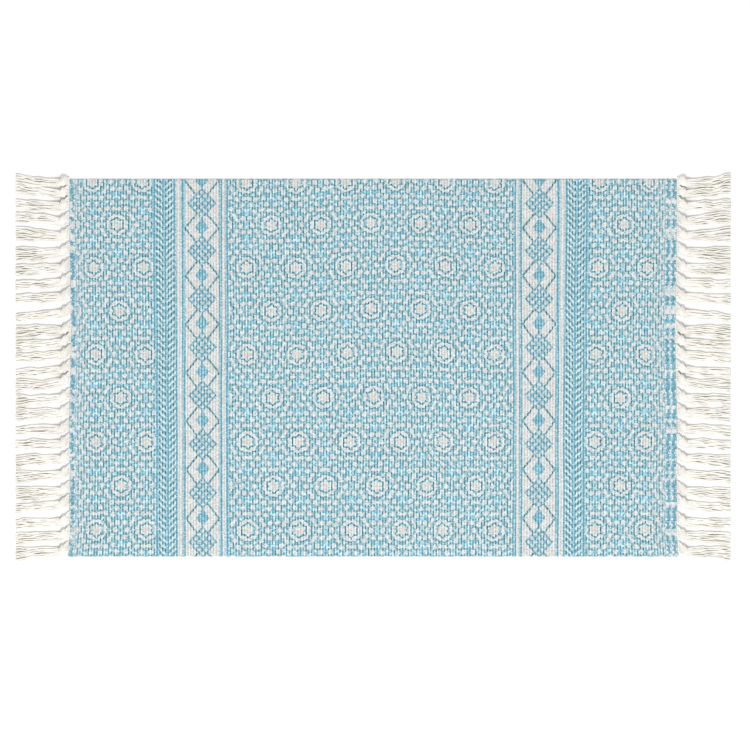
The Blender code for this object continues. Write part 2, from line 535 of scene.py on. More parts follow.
    # Both ends follow the end line
    straight_end = CLOTH_LENGTH / 2
    reach = add_node(tree, SUBTRACT, look_up(tree, y, END_LINE, MM), straight_end * MM)
    distance = add_node(tree, ABSOLUTE, x)
    bow = metres((straight_end - BOW_REACH, straight_end))
    nearness = add_node(tree, RANGE, distance, *bow, 0.0, 1.0)
    pull = add_node(tree, MULTIPLY, reach, nearness)
    pull = add_node(tree, MULTIPLY, pull, add_node(tree, SIGN, x))
    bowed = add_node(tree, ADD, x, pull)

    # The ribs wander a little from side to side, least at both ends, and the print does not follow them
    straight = add_node(tree, COMBINE, x, y, 0.0)
    wander, _ = add_node(tree, NOISE, straight, WANDER_SCALE, 0.0)
    wander = add_node(tree, SUBTRACT, wander, 0.5)
    slack = add_node(tree, RANGE, distance, *metres(WANDER_FADE), WANDER * MM, 0.0)
    wander = add_node(tree, MULTIPLY, wander, slack)
    bowed = add_node(tree, ADD, bowed, wander)
    printed = add_node(tree, COMBINE, add_node(tree, ADD, x, wander), y, 0.0)
    kept = grid[0]
    for name, value in (("weave", straight), ("print", printed)):
        kept = add_node(tree, "GeometryNodeStoreNamedAttribute", kept, None, name, value,
                        data_type="FLOAT_VECTOR", domain="POINT")
    layers = []
    for height in (top, bottom):
        rise_from_middle = add_node(tree, SUBTRACT, height, middle)
        z = add_node(tree, MULTIPLY_ADD, rise_from_middle, body, middle)
        place = add_node(tree, COMBINE, bowed, y, z)
        layers.append(add_node(tree, SET_POSITION, kept, None, place))
    under = add_node(tree, "GeometryNodeFlipFaces", layers[1])
    both = tree.nodes.new("GeometryNodeJoinGeometry")
    for layer in (layers[0], under):
        tree.links.new(layer, both.inputs[0])
    closed = add_node(tree, "GeometryNodeMergeByDistance", both.outputs[0], None, WELD * MM)
    return finish_tree(tree, closed, material, result)


def tassel_tree():
    """One tassel: yarns from the cloth through the knot to the tips, and the band round the knot."""
    tree, given, result = new_tree(
        "knotted tassel",
        "GeometryNodeTree",
        (
            ("Root", "Float"), ("Knot y", "Float"), ("Mid drift", "Float"), ("Tip drift", "Float"),
            ("Tip width", "Float"), ("Root width", "Float"), ("Root rise", "Float"), ("Side", "Float"),
            ("Seed", "Int"), ("Material", "Material"),
        ),
        (("Tassel", "Geometry"),),
    )
    root, knot_y, mid_drift, tip_drift, tip_width = given[:5]
    root_width, root_rise, side, seed, material = given[5:10]
    index = add_node(tree, "GeometryNodeInputIndex")

    # Yarns: one straight line for each, laid out below by its number and its run
    line = add_node(tree, "GeometryNodeCurvePrimitiveLine", (0.0, 0.0, 0.0), (1.0, 0.0, 0.0))
    line = add_node(tree, "GeometryNodeResampleCurve", line, None, YARN_POINTS)
    lines, number = repeat_curve(tree, line, YARN_POINTS, YARNS)
    point = add_node(tree, FLOORED_MODULO, index, float(YARN_POINTS))
    share = add_node(tree, DIVIDE, point, YARN_POINTS - 1.0)
    share = add_node(tree, POWER, share, CLOSER_AT_KNOT)
    short = add_node(tree, RANDOM, 0.0, UNEVEN_TIPS * MM, number, seed)
    reach = add_node(tree, SUBTRACT, TIP_LINE * MM, root)
    reach = add_node(tree, SUBTRACT, reach, short)
    run = add_node(tree, MULTIPLY, share, reach)
    x = add_node(tree, ADD, root, run)

    # Spread: wide at the cloth, tight in the knot, and wide again at the tips
    place = add_node(tree, ADD, number, 0.5)
    place = add_node(tree, DIVIDE, place, YARNS)
    place = add_node(tree, SUBTRACT, place, 0.5)
    waist = add_node(tree, SMOOTH_RANGE, run, *metres(GATHER), root_width, KNOT_WAIST * MM)
    waist = add_node(tree, ADD, waist, add_node(tree, RANGE, run, *metres(LOOSEN), 0.0, LOOSENED * MM))
    opening = add_node(tree, SUBTRACT, tip_width, (KNOT_WAIST + LOOSENED) * MM)
    opened = add_node(tree, RANGE, run, *metres(FAN_OUT), 0.0, 1.0)
    opened = add_node(tree, MULTIPLY, opened, opening)
    spread = add_node(tree, ADD, waist, opened)
    offset = add_node(tree, MULTIPLY, place, spread)
    slant = add_node(tree, SMOOTH_RANGE, run, *metres(SLANT), root_rise, -KNOT_SLANT * MM)
    settle = add_node(tree, RANGE, run, *metres(SETTLE), 0.0, KNOT_SLANT * MM)
    to_mid = add_node(tree, SMOOTH_RANGE, run, *metres(TO_MID), 0.0, 1.0)
    to_tip = add_node(tree, SMOOTH_RANGE, run, *metres(TO_TIP), 0.0, 1.0)
    further = add_node(tree, SUBTRACT, tip_drift, mid_drift)
    drift = add_node(tree, MULTIPLY_ADD, mid_drift, to_mid, knot_y)
    drift = add_node(tree, MULTIPLY_ADD, further, to_tip, drift)
    drift = add_node(tree, ADD, drift, slant)
    drift = add_node(tree, ADD, drift, settle)
    scaled = [add_node(tree, MULTIPLY, *pair) for pair in ((run, 42.0), (number, 0.9), (seed, 5.3))]
    wander, _ = add_node(tree, NOISE, add_node(tree, COMBINE, *scaled), 1.0, 1.0)
    loose = add_node(tree, RANGE, run, *metres(STRAY), 0.0, STRAY_WIDTH * MM)
    wander = add_node(tree, MULTIPLY, add_node(tree, SUBTRACT, wander, 0.5), loose)
    y = add_node(tree, ADD, drift, offset)
    y = add_node(tree, ADD, y, wander)

    # Height: up into the knot, then down to two layers on the floor
    layer = add_node(tree, FLOORED_MODULO, number, 2.0)
    at_cloth = add_node(tree, MULTIPLY_ADD, layer, *metres(CLOTH_LAYERS))
    in_knot = add_node(tree, MULTIPLY_ADD, layer, *metres(KNOT_LAYERS))
    on_floor = add_node(tree, MULTIPLY_ADD, layer, *metres(FLOOR_LAYERS))
    up = add_node(tree, SMOOTH_RANGE, run, *metres(CLIMB), 0.0, 1.0)
    down = add_node(tree, SMOOTH_RANGE, run, *metres(FALL), 0.0, 1.0)
    z = add_node(tree, MIX, up, at_cloth, in_knot)
    z = add_node(tree, MIX, down, z, on_floor)
    mirrored = add_node(tree, MULTIPLY, x, side)
    yarns = add_node(tree, SET_POSITION, lines, None, add_node(tree, COMBINE, mirrored, y, z))

    # The knot's band: rings side by side, tilted across the yarns
    ring = add_node(tree, "GeometryNodeCurvePrimitiveCircle", RING_POINTS)
    rings, ring_number = repeat_curve(tree, ring, RING_POINTS, KNOT_RINGS)
    middle_ring = add_node(tree, SUBTRACT, ring_number, (KNOT_RINGS - 1) / 2)
    angle = add_node(tree, MULTIPLY, index, math.tau / RING_POINTS)
    barrel = add_node(tree, MULTIPLY, middle_ring, middle_ring)
    barrel = add_node(tree, MULTIPLY_ADD, barrel, RING_TAPER, 1.0)
    swing = add_node(tree, RANDOM, *RING_TILT, seed, 7)
    wide = add_node(tree, MULTIPLY, add_node(tree, COSINE, angle), barrel)
    wide = add_node(tree, MULTIPLY, wide, RING_HALF_WIDTH * MM)
    high = add_node(tree, MULTIPLY, add_node(tree, SINE, angle), barrel)
    high = add_node(tree, MULTIPLY_ADD, high, RING_HALF_HEIGHT * MM, KNOT_MIDDLE * MM)
    step_out = add_node(tree, MULTIPLY, middle_ring, RING_STEP * MM)
    cosine = add_node(tree, COSINE, swing)
    sine = add_node(tree, SINE, swing)
    ring_x = add_node(tree, MULTIPLY, step_out, cosine)
    back = add_node(tree, MULTIPLY, wide, sine)
    ring_x = add_node(tree, SUBTRACT, ring_x, back)
    ring_x = add_node(tree, ADD, ring_x, KNOT_RUN * MM)
    ring_x = add_node(tree, ADD, ring_x, root)
    ring_x = add_node(tree, MULTIPLY, ring_x, side)
    ring_y = add_node(tree, MULTIPLY, wide, cosine)
    aside = add_node(tree, MULTIPLY, step_out, sine)
    ring_y = add_node(tree, ADD, ring_y, aside)
    ring_y = add_node(tree, ADD, ring_y, knot_y)
    band = add_node(tree, SET_POSITION, rings, None, add_node(tree, COMBINE, ring_x, ring_y, high))

    # Sweep both round, keeping what the cotton's twist and the painted shade down the sides of the
    # yarns need
    swept = tree.nodes.new("GeometryNodeJoinGeometry")
    in_bind = add_node(tree, RANGE, run, *metres(UNBIND), 1.0, 0.0)
    for curves, radius, tone_from, bind in (
        (yarns, YARN_RADIUS, number, in_bind),
        (band, BAND_RADIUS, ring_number, 1.0),
    ):
        parameter = add_node(tree, "GeometryNodeSplineParameter")
        for name, kind, value in (
            ("core", "FLOAT_VECTOR", add_node(tree, "GeometryNodeInputPosition")),
            ("lay", "FLOAT_VECTOR", add_node(tree, "GeometryNodeInputTangent")),
            ("run", "FLOAT", parameter[1]),
            ("bind", "FLOAT", bind),
            ("tone", "FLOAT", add_node(tree, RANDOM, 0.0, 1.0, tone_from, seed)),
        ):
            curves = add_node(tree, "GeometryNodeStoreNamedAttribute", curves, None, name, value,
                              data_type=kind, domain="POINT")
        outline = add_node(tree, "GeometryNodeCurvePrimitiveCircle", YARN_SIDES)
        scaled = add_node(tree, SCALE, add_node(tree, "GeometryNodeInputPosition"), radius * MM)
        outline = add_node(tree, SET_POSITION, outline, None, scaled)
        tube = tree.nodes.new("GeometryNodeCurveToMesh")
        tree.links.new(curves, tube.inputs["Curve"])
        tree.links.new(outline, tube.inputs["Profile Curve"])
        tube.inputs["Fill Caps"].default_value = True
        tree.links.new(tube.outputs[0], swept.inputs[0])
    return finish_tree(tree, swept.outputs[0], material, result)


def new_material(name, roughness, sheen):
    """A dry fabric finish: its tree, its shader, and the two to link to."""
    material = bpy.data.materials.new(name)
    material.use_nodes = True
    tree = material.node_tree
    shader = tree.nodes["Principled BSDF"]
    shader.inputs["Roughness"].default_value = roughness
    shader.inputs["IOR"].default_value = 1.45
    shader.inputs["Specular IOR Level"].default_value = 0.15
    shader.inputs["Sheen Weight"].default_value = sheen
    shader.inputs["Sheen Roughness"].default_value = 0.6
    return material, tree, shader


def spot_group():
    """How far a point lies inside an ellipse, from 0 to 1 with a soft edge, and inside its dark rim."""
    tree, given, result = new_tree(
        "spot",
        "ShaderNodeTree",
        (("Point", "Vector"), ("Centre", "Vector"), ("Radii", "Vector")),
        (("Amount", "Float"), ("Rim", "Float")),
    )
    away = add_node(tree, VECTOR_MATH, given[0], given[1], operation="SUBTRACT")
    away = add_node(tree, VECTOR_MATH, away, given[2], operation="DIVIDE")
    away = add_node(tree, VECTOR_MATH, away, operation="LENGTH")
    amount = add_node(tree, RANGE, away, 0.85, 1.15, 1.0, 0.0)
    rim = add_node(tree, RANGE, away, 1.2, 1.6, 1.0, 0.0)
    tree.links.new(amount, result[0])
    tree.links.new(rim, result[1])
    return tree


def rosette_group(spot):
    """The field: rosettes on a staggered grid with six-fold rings of dots, as cream, light and dark."""
    tree, given, result = new_tree(
        "rosettes",
        "ShaderNodeTree",
        (("Point", "Vector"),),
        [(name, "Float") for name in ("Cream", "Light", "Dark", "Bright", "Heart")],
    )
    half = (ROSETTE_PITCH / 2, ROSETTE_ROW, 1.0)
    least = (-ROSETTE_PITCH / 2, -ROSETTE_ROW, -1.0)
    centred = add_node(tree, VECTOR_MATH, given[0], (MIRROR_X, ROSETTE_Y, 0.0), operation="SUBTRACT")
    stagger = (ROSETTE_PITCH / 2, ROSETTE_ROW, 0.0)
    staggered = add_node(tree, VECTOR_MATH, centred, stagger, operation="ADD")
    near = add_node(tree, VECTOR_MATH, centred, half, least, operation="WRAP")
    other = add_node(tree, VECTOR_MATH, staggered, half, least, operation="WRAP")
    near_length = add_node(tree, VECTOR_MATH, near, operation="LENGTH")
    other_length = add_node(tree, VECTOR_MATH, other, operation="LENGTH")
    swap = add_node(tree, GREATER_THAN, near_length, other_length)
    arm = add_node(tree, MIX, swap, near, other, data_type="VECTOR")
    radius = add_node(tree, MINIMUM, near_length, other_length)
    arm_x, arm_y, _ = add_node(tree, SEPARATE, arm)
    turn = add_node(tree, ARCTAN2, arm_y, arm_x)
    fold = add_node(tree, PINGPONG, turn, math.pi / 6)
    folds = {}
    for name, angle in (
        ("next", fold),
        ("between", add_node(tree, SUBTRACT, math.pi / 6, fold)),
    ):
        run = add_node(tree, MULTIPLY, radius, add_node(tree, COSINE, angle))
        aside = add_node(tree, MULTIPLY, radius, add_node(tree, SINE, angle))
        folds[name] = add_node(tree, COMBINE, run, aside, 0.0)

    # Dots: axis that they are counted from, centre, radii
    cream_dots = (
        ("between", (25.6, 4.5), (3.4, 3.7)),
        ("between", (25.4, 0.0), (2.2, 2.5)),
        ("next", (30.4, 0.0), (4.2, 4.4)),
        ("next", (34.2, 11.7), (4.0, 4.0)),
    )
    light_dots = (
        ("next", (20.9, 0.0), (2.3, 2.3)),
        ("next", (39.7, 4.3), (1.6, 2.7)),
        ("next", (39.7, 19.3), (1.4, 3.7)),
    )
    bright_dots = (
        ("between", (33.8, 0.0), (3.4, 2.6)),
        ("between", (40.0, 0.0), (3.4, 2.2)),
    )
    lobes = add_node(tree, COSINE, add_node(tree, MULTIPLY, fold, 12.0))
    disc_edge = add_node(tree, MULTIPLY_ADD, lobes, DISC_LOBES, radius)
    disc = add_node(tree, RANGE, disc_edge, *DISC_EDGE, 1.0, 0.0)
    moat = add_node(tree, RANGE, disc_edge, *MOAT_EDGE, 1.0, 0.0)
    rims = 0.0
    totals = []
    for dots in (cream_dots, light_dots, bright_dots):
        total = 0.0
        for axis, centre, radii in dots:
            dot, rim = add_node(tree, "ShaderNodeGroup", folds[axis], centre + (0.0,), radii + (1.0,),
                                node_tree=spot)
            total = add_node(tree, MAXIMUM, total, dot)
            if dots is cream_dots:
                rims = add_node(tree, MAXIMUM, rims, rim)
        totals.append(total)

    # Disc: a cream ring round a dark six-pointed line, pale inside it, with a cream centre
    point_share = add_node(tree, RANGE, fold, 0.0, math.pi / 6, 0.0, 1.0)
    point_share = add_node(tree, POWER, point_share, 1.6)
    star = add_node(tree, MULTIPLY_ADD, point_share, STAR_POINTS, STAR_WAIST)
    off_star = add_node(tree, SUBTRACT, radius, star)
    outside = add_node(tree, RANGE, off_star, -0.4, 0.4, 0.0, 1.0)
    off_star = add_node(tree, ABSOLUTE, off_star)
    gap = add_node(tree, RANGE, off_star, *STAR_LINE, 1.0, 0.0)
    off_gap = add_node(tree, SUBTRACT, 1.0, gap)
    centre = add_node(tree, RANGE, radius, *CENTRE_EDGE, 1.0, 0.0)
    disc = add_node(tree, MULTIPLY, disc, add_node(tree, MAXIMUM, outside, centre))
    disc = add_node(tree, MULTIPLY, disc, off_gap)
    cream = add_node(tree, MAXIMUM, totals[0], disc)
    pale = add_node(tree, SUBTRACT, 1.0, outside)
    pale = add_node(tree, MULTIPLY, pale, off_gap)
    pale = add_node(tree, MAXIMUM, pale, totals[1])
    dark = add_node(tree, MULTIPLY, rims, 0.6)
    dark = add_node(tree, MAXIMUM, dark, add_node(tree, MULTIPLY, moat, 0.85))
    dark = add_node(tree, MAXIMUM, dark, gap)
    bare = add_node(tree, SUBTRACT, 1.0, cream)
    dark = add_node(tree, MULTIPLY, dark, bare)
    unmarked = add_node(tree, SUBTRACT, 1.0, pale)
    dark = add_node(tree, MULTIPLY, dark, unmarked)
    heart = add_node(tree, RANGE, radius, *HEART_EDGE, 1.0, 0.0)
    for amount, socket in zip((cream, pale, dark, totals[2], heart), result):
        tree.links.new(amount, socket)
    return tree


def diamond_group():
    """The cream band: eyed diamonds with latticed ones between them, as blue and as its dark lines."""
    tree, given, result = new_tree(
        "diamonds",
        "ShaderNodeTree",
        (("Outward", "Float"), ("Y", "Float")),
        (("Blue", "Float"), ("Dark", "Float")),
    )
    half = DIAMOND_PITCH / 2
    aside = add_node(tree, SUBTRACT, given[0], DIAMOND_CENTRE)
    aside = add_node(tree, ABSOLUTE, aside)
    along = add_node(tree, SUBTRACT, given[1], DIAMOND_Y)
    along = add_node(tree, PINGPONG, along, half)
    low = add_node(tree, SUBTRACT, given[1], DIAMOND_Y - 2.0)
    low = add_node(tree, PINGPONG, low, half)
    beyond = add_node(tree, SUBTRACT, half, along)

    # Eye: a thin outline with blunt tips, a solid diamond in it, and a short stem above and below
    slope = add_node(tree, MULTIPLY_ADD, low, EYE_SLOPE, aside)
    off_outline = add_node(tree, ABSOLUTE, add_node(tree, SUBTRACT, slope, EYE_REACH))
    outline = add_node(tree, RANGE, off_outline, *EYE_LINE, 1.0, 0.0)
    tip = add_node(tree, RANGE, low, 1.5, 3.0, 1.0, 0.0)
    tip = add_node(tree, MULTIPLY, tip, add_node(tree, GREATER_THAN, aside, 24.5))
    outline = add_node(tree, MAXIMUM, outline, tip)
    solid = add_node(tree, DIVIDE, add_node(tree, MULTIPLY_ADD, along, SOLID_SLOPE, aside), SOLID_REACH)
    solid = add_node(tree, RANGE, solid, 0.93, 1.07, 1.0, 0.0)
    stem = add_node(tree, RANGE, aside, *STEM_EDGE, 1.0, 0.0)
    eye = add_node(tree, MAXIMUM, outline, solid)
    eye = add_node(tree, MAXIMUM, eye, stem)

    # Lattice: four rows of four light cells in a slanted blue net
    tall = add_node(tree, MULTIPLY, beyond, 0.9)
    rising = add_node(tree, ADD, aside, tall)
    falling = add_node(tree, SUBTRACT, aside, tall)
    inside = add_node(tree, RANGE, rising, LATTICE_PITCH * 2 + 1.4, LATTICE_PITCH * 2 + 2.2, 1.0, 0.0)
    cells = []
    for slanted in (rising, falling):
        wrapped = add_node(tree, WRAP, slanted, LATTICE_PITCH, 0.0)
        wrapped = add_node(tree, SUBTRACT, wrapped, LATTICE_PITCH / 2)
        wrapped = add_node(tree, ABSOLUTE, wrapped)
        cells.append(add_node(tree, RANGE, wrapped, *CELL_EDGE, 1.0, 0.0))
    cell = add_node(tree, MULTIPLY, cells[0], cells[1])
    pale = add_node(tree, RANGE, rising, 8.0, 18.0, 0.78, 0.95)
    ground = add_node(tree, MULTIPLY, cell, pale)
    ground = add_node(tree, SUBTRACT, 1.0, ground)
    blue = add_node(tree, MIX, inside, eye, ground)
    lines = add_node(tree, SUBTRACT, 1.0, cell)
    lines = add_node(tree, MULTIPLY, lines, 0.45)
    within = add_node(tree, MAXIMUM, outline, stem)
    within = add_node(tree, MIX, solid, within, 0.12)
    dark = add_node(tree, MIX, inside, within, lines)
    tree.links.new(blue, result[0])
    tree.links.new(dark, result[1])
    return tree


def cloth_material():
    """Ribbed cotton flatweave, printed: matt cords, teal with painted shade in their valleys and pale
    with painted light on their crests.
    """
    material, tree, shader = new_material("printed_ribbed_cotton", 0.92, 0.12)
    spot = spot_group()
    weave, printed = (
        add_node(tree, SCALE, add_node(tree, ATTRIBUTE, attribute_name=name)[1], 1 / MM)
        for name in ("weave", "print")
    )
    x, y, _ = add_node(tree, SEPARATE, weave)
    print_x, _, _ = add_node(tree, SEPARATE, printed)
    x_side = add_node(tree, SIGN, x)
    from_middle = add_node(tree, ABSOLUTE, x)

    # Which cord, and where on it
    ribbed_from = CLOTH_LENGTH / 2 - END_CORDS_LEFT * END_CORD_WIDTH
    count = add_node(tree, DIVIDE, add_node(tree, ADD, x, ribbed_from), RIB_PITCH)
    rib_phase = add_node(tree, FRACT, count)
    lopsided = END_CORD_WIDTH * (END_CORDS_RIGHT - END_CORDS_LEFT) / 2
    cords_from = CLOTH_LENGTH / 2 - END_CORD_WIDTH * (END_CORDS_LEFT + END_CORDS_RIGHT) / 2
    outward = add_node(tree, MULTIPLY_ADD, x_side, lopsided, from_middle)
    on_cord = add_node(tree, GREATER_THAN, outward, cords_from)
    cord_count = add_node(tree, SUBTRACT, from_middle, CLOTH_LENGTH / 2 - 2 * END_CORD_WIDTH)
    cord_count = add_node(tree, DIVIDE, cord_count, END_CORD_WIDTH)
    cord_phase = add_node(tree, FRACT, cord_count)
    phase = add_node(tree, MIX, on_cord, rib_phase, cord_phase)
    ridge = add_node(tree, SINE, add_node(tree, MULTIPLY, phase, math.pi))
    crest = add_node(tree, SMOOTH_RANGE, ridge, 0.4, 0.88, 0.0, 1.0)
    cord_top = add_node(tree, SMOOTH_RANGE, ridge, 0.12, 0.4, 0.0, 1.0)

    # Dye follows the yarn, so the print is broken up by half ribs, each a little out of line
    halves = add_node(tree, MULTIPLY_ADD, count, 2.0, 0.5)
    half_rib = add_node(tree, FLOOR, halves)
    snap = add_node(tree, ADD, half_rib, 0.5)
    snap = add_node(tree, SUBTRACT, snap, halves)
    from_mirror = add_node(tree, ABSOLUTE, add_node(tree, SUBTRACT, x, MIRROR_X))
    near_band = add_node(tree, COMPARE, from_mirror, BAND_MIDDLE, BAND_HALF)
    broken = add_node(tree, MIX, near_band, FIELD_SNAP * RIB_PITCH / 2, BAND_SNAP * RIB_PITCH / 2)
    print_x = add_node(tree, MULTIPLY_ADD, snap, broken, print_x)
    jolt, _ = add_node(tree, "ShaderNodeTexWhiteNoise", half_rib, noise_dimensions="1D")
    jolt = add_node(tree, MULTIPLY, add_node(tree, SUBTRACT, jolt, 0.5), JOLT)

    # The cloth was pulled a little out of square as it was printed and laid
    lean_share = add_node(tree, RANGE, y, *LEAN_ROWS, 0.0, 1.0)
    lean = add_node(tree, MULTIPLY, look_up(tree, from_mirror, LEAN), lean_share)
    lean = add_node(tree, SUBTRACT, lean, look_up(tree, from_mirror, EASE))
    lean = add_node(tree, MULTIPLY, lean, x_side)
    off_row = add_node(tree, ABSOLUTE, add_node(tree, SUBTRACT, y, PULLED_ROW))
    off_row = add_node(tree, SMOOTH_RANGE, off_row, *PULLED_EDGE, 1.0, 0.0)
    pull = add_node(tree, MIX, off_row, *(look_up(tree, x, line) for line in PULLS))
    pull_share = add_node(tree, RANGE, y, *PULL_ROWS, 0.0, 1.0)
    pull = add_node(tree, MULTIPLY, pull, pull_share)
    from_hump = add_node(tree, ABSOLUTE, add_node(tree, SUBTRACT, x, HUMP_X))
    hump = add_node(tree, SMOOTH_RANGE, from_hump, HUMP_REACH, 0.0, 0.0, HUMP_HEIGHT)
    hump_share = add_node(tree, RANGE, y, *HUMP_ROWS, 0.0, 1.0)
    hump = add_node(tree, MULTIPLY, hump, hump_share)
    sag_share = add_node(tree, RANGE, from_mirror, *SAG_EDGE, 1.0, SAG_BEYOND)
    sag = add_node(tree, MULTIPLY, look_up(tree, y, SAG), sag_share)
    print_x = add_node(tree, SUBTRACT, print_x, lean)
    print_x = add_node(tree, SUBTRACT, print_x, pull)
    print_y = add_node(tree, SUBTRACT, y, hump)
    print_y = add_node(tree, ADD, print_y, sag)
    print_y = add_node(tree, ADD, print_y, jolt)
    outward = add_node(tree, ABSOLUTE, add_node(tree, SUBTRACT, print_x, MIRROR_X))

    # Each cord takes the dye a little differently along its length, crest and valley apart; the same
    # noise makes spots of painted light that break up the valleys' painted shade, and painted glints
    # further down
    fleck_place = add_node(tree, COMBINE, add_node(tree, MULTIPLY, half_rib, 7.3),
                           add_node(tree, MULTIPLY, y, 0.38), 0.0)
    fleck, _ = add_node(tree, NOISE, fleck_place, 1.0, 1.0)
    # Spots of painted light in the valleys, where their painted shade breaks off
    painted_light_spots = add_node(tree, RANGE, fleck, 0.5, 0.64, 0.0, 0.6)
    top = add_node(tree, MAXIMUM, crest, painted_light_spots)

    # Bands
    field = add_node(tree, COMBINE, print_x, print_y, 0.0)
    cream, light, dark, bright, heart = add_node(tree, "ShaderNodeGroup", field,
                                                 node_tree=rosette_group(spot))
    thin = add_node(tree, RANGE, fleck, 0.32, 0.42, 0.75, 1.0)
    cream = add_node(tree, MULTIPLY, cream, thin)
    in_band = add_node(tree, COMPARE, outward, BAND_MIDDLE, BAND_HALF)
    stripe_share = add_node(tree, RANGE, outward, BAND_START, BAND_END, 0.0, 1.0)
    stripes = add_node(tree, "ShaderNodeValToRGB", stripe_share)
    ramp = stripes[0].node.color_ramp
    ramp.interpolation = "CONSTANT"
    while len(ramp.elements) < len(STRIPES):
        ramp.elements.new(1.0)
    for stop, (start, tone) in zip(ramp.elements, STRIPES):
        stop.position = (start - BAND_START) / (BAND_END - BAND_START)
        stop.color = (tone, tone, tone, 1.0)
    blue, lines = add_node(tree, "ShaderNodeGroup", outward, print_y, node_tree=diamond_group())
    in_diamonds = add_node(tree, COMPARE, outward, DIAMOND_CENTRE, DIAMOND_HALF)
    unprinted = add_node(tree, SUBTRACT, 1.0, blue)
    band_cream = add_node(tree, MIX, in_diamonds, stripes[0], unprinted)
    cream = add_node(tree, MIX, in_band, cream, band_cream)
    outside_band = add_node(tree, SUBTRACT, 1.0, in_band)
    bright = add_node(tree, MULTIPLY, bright, outside_band)
    heart = add_node(tree, MIX, in_band, heart, 0.4)
    from_spine = add_node(tree, SUBTRACT, outward, HERRINGBONE_CENTRE)
    from_spine = add_node(tree, ABSOLUTE, from_spine)
    slanted = add_node(tree, SUBTRACT, print_y, from_spine)
    slanted = add_node(tree, DIVIDE, slanted, HERRINGBONE_PITCH)
    slanted = add_node(tree, PINGPONG, slanted, 0.5)
    in_columns = add_node(tree, COMPARE, from_spine, COLUMN_PLACE, COLUMN_HALF)
    dash = add_node(tree, RANGE, slanted, 0.13, 0.22, 1.0, 0.0)
    dash = add_node(tree, MULTIPLY, dash, in_columns)
    between = add_node(tree, RANGE, slanted, 0.22, 0.34, 0.0, 0.8)
    between = add_node(tree, MULTIPLY, between, in_columns)
    light = add_node(tree, MIX, in_band, light, dash)
    half_dash = add_node(tree, MULTIPLY, dash, 0.5)
    half_dash = add_node(tree, MULTIPLY, half_dash, in_band)
    cream = add_node(tree, MAXIMUM, cream, half_dash)
    lines = add_node(tree, MULTIPLY, lines, in_diamonds)
    between = add_node(tree, MAXIMUM, between, lines)
    dark = add_node(tree, MIX, in_band, dark, between)
    plain = add_node(tree, GREATER_THAN, in_band, in_columns)

    # Colours of the crests and of the valleys, as painted light and painted shade: each tone has a lit
    # copy for the crests on the first line and a shaded copy for the valleys on the second
    lit_and_shaded = []
    for ground, strong, stripe, pale, bare, warm, line in (
        ("#AAD4E0", "#92C9DC", "#90C6D7", "#DCF3F9", "#E5E8E7", "#E3DDD6", "#76AEBE"),
        ("#568F9A", "#569FB5", "#5C9CB1", "#A2CAD5", "#CCCDCB", "#C9C6C1", "#366B77"),
    ):
        shade = add_node(tree, BLEND, bright, linear(ground), linear(strong))
        shade = add_node(tree, BLEND, plain, shade, linear(stripe))
        shade = add_node(tree, BLEND, light, shade, linear(pale))
        undyed = add_node(tree, BLEND, heart, linear(bare), linear(warm))
        shade = add_node(tree, BLEND, cream, shade, undyed)
        lit_and_shaded.append(add_node(tree, BLEND, dark, shade, linear(line)))
    # Painted shade in the valleys and painted light on the crests, by the crest share in top
    colour = add_node(tree, BLEND, top, lit_and_shaded[1], lit_and_shaded[0])
    # Painted highlight: near-white glints on some of the crests
    painted_glint = add_node(tree, RANGE, fleck, 0.5, 0.64, 0.0, 0.5)
    painted_glint = add_node(tree, MULTIPLY, painted_glint, crest)
    colour = add_node(tree, BLEND, painted_glint, colour, linear("#E2F4F7"))
    fleck = add_node(tree, RANGE, fleck, 0.3, 0.6, 0.75, 1.04)
    colour = add_node(tree, SCALE, colour, fleck)

    # End cords: a wavering blue core with bare cotton at its sides, the same on each cord
    smear_place = add_node(tree, COMBINE, add_node(tree, MULTIPLY, cord_phase, 0.5),
                           add_node(tree, MULTIPLY, y, 0.085), x_side)
    smear, _ = add_node(tree, NOISE, smear_place, 1.0, 1.0)
    speck_place = add_node(tree, COMBINE, add_node(tree, MULTIPLY, cord_phase, 2.2),
                           add_node(tree, MULTIPLY, y, 0.3), x_side)
    speck, _ = add_node(tree, NOISE, speck_place, 1.0, 2.0)
    sway = add_node(tree, ADD, add_node(tree, MULTIPLY, y, math.tau / 14.0),
                    add_node(tree, MULTIPLY, smear, 14.0))
    sway = add_node(tree, MULTIPLY_ADD, add_node(tree, SINE, sway), 0.15, 0.5)
    off_core = add_node(tree, ABSOLUTE, add_node(tree, SUBTRACT, cord_phase, sway))
    ragged = add_node(tree, MULTIPLY_ADD, add_node(tree, SUBTRACT, speck, 0.5), 1.6, off_core)
    ragged = add_node(tree, RANGE, ragged, 0.36, 0.43, 1.0, 0.0)
    smear = add_node(tree, MULTIPLY_ADD, add_node(tree, SUBTRACT, speck, 0.5), 0.4, smear)
    smear = add_node(tree, RANGE, smear, 0.4, 0.46, 0.0, 1.0)
    smear = add_node(tree, MULTIPLY, smear, ragged)
    mottled = []
    for low, high, first, second in (
        (0.36, 0.56, "#8CC1D2", "#5390A2"),
        (0.4, 0.6, "#C9CFD0", "#E7EAE9"),
        (0.42, 0.56, "#9DB9C0", "#DCE5E7"),
    ):
        share = add_node(tree, RANGE, speck, low, high, 0.0, 1.0)
        mottled.append(add_node(tree, BLEND, share, linear(first), linear(second)))
    dye, cotton, seam = mottled
    cord_colour = add_node(tree, BLEND, smear, cotton, dye)
    cord_colour = add_node(tree, BLEND, cord_top, seam, cord_colour)
    faded = add_node(tree, RANGE, from_mirror, 440.0, 475.0, 0.0, 0.22)
    colour = add_node(tree, BLEND, faded, colour, linear("#C4C8C9"))
    colour = add_node(tree, BLEND, on_cord, colour, cord_colour)
    tree.links.new(colour, shader.inputs["Base Color"])

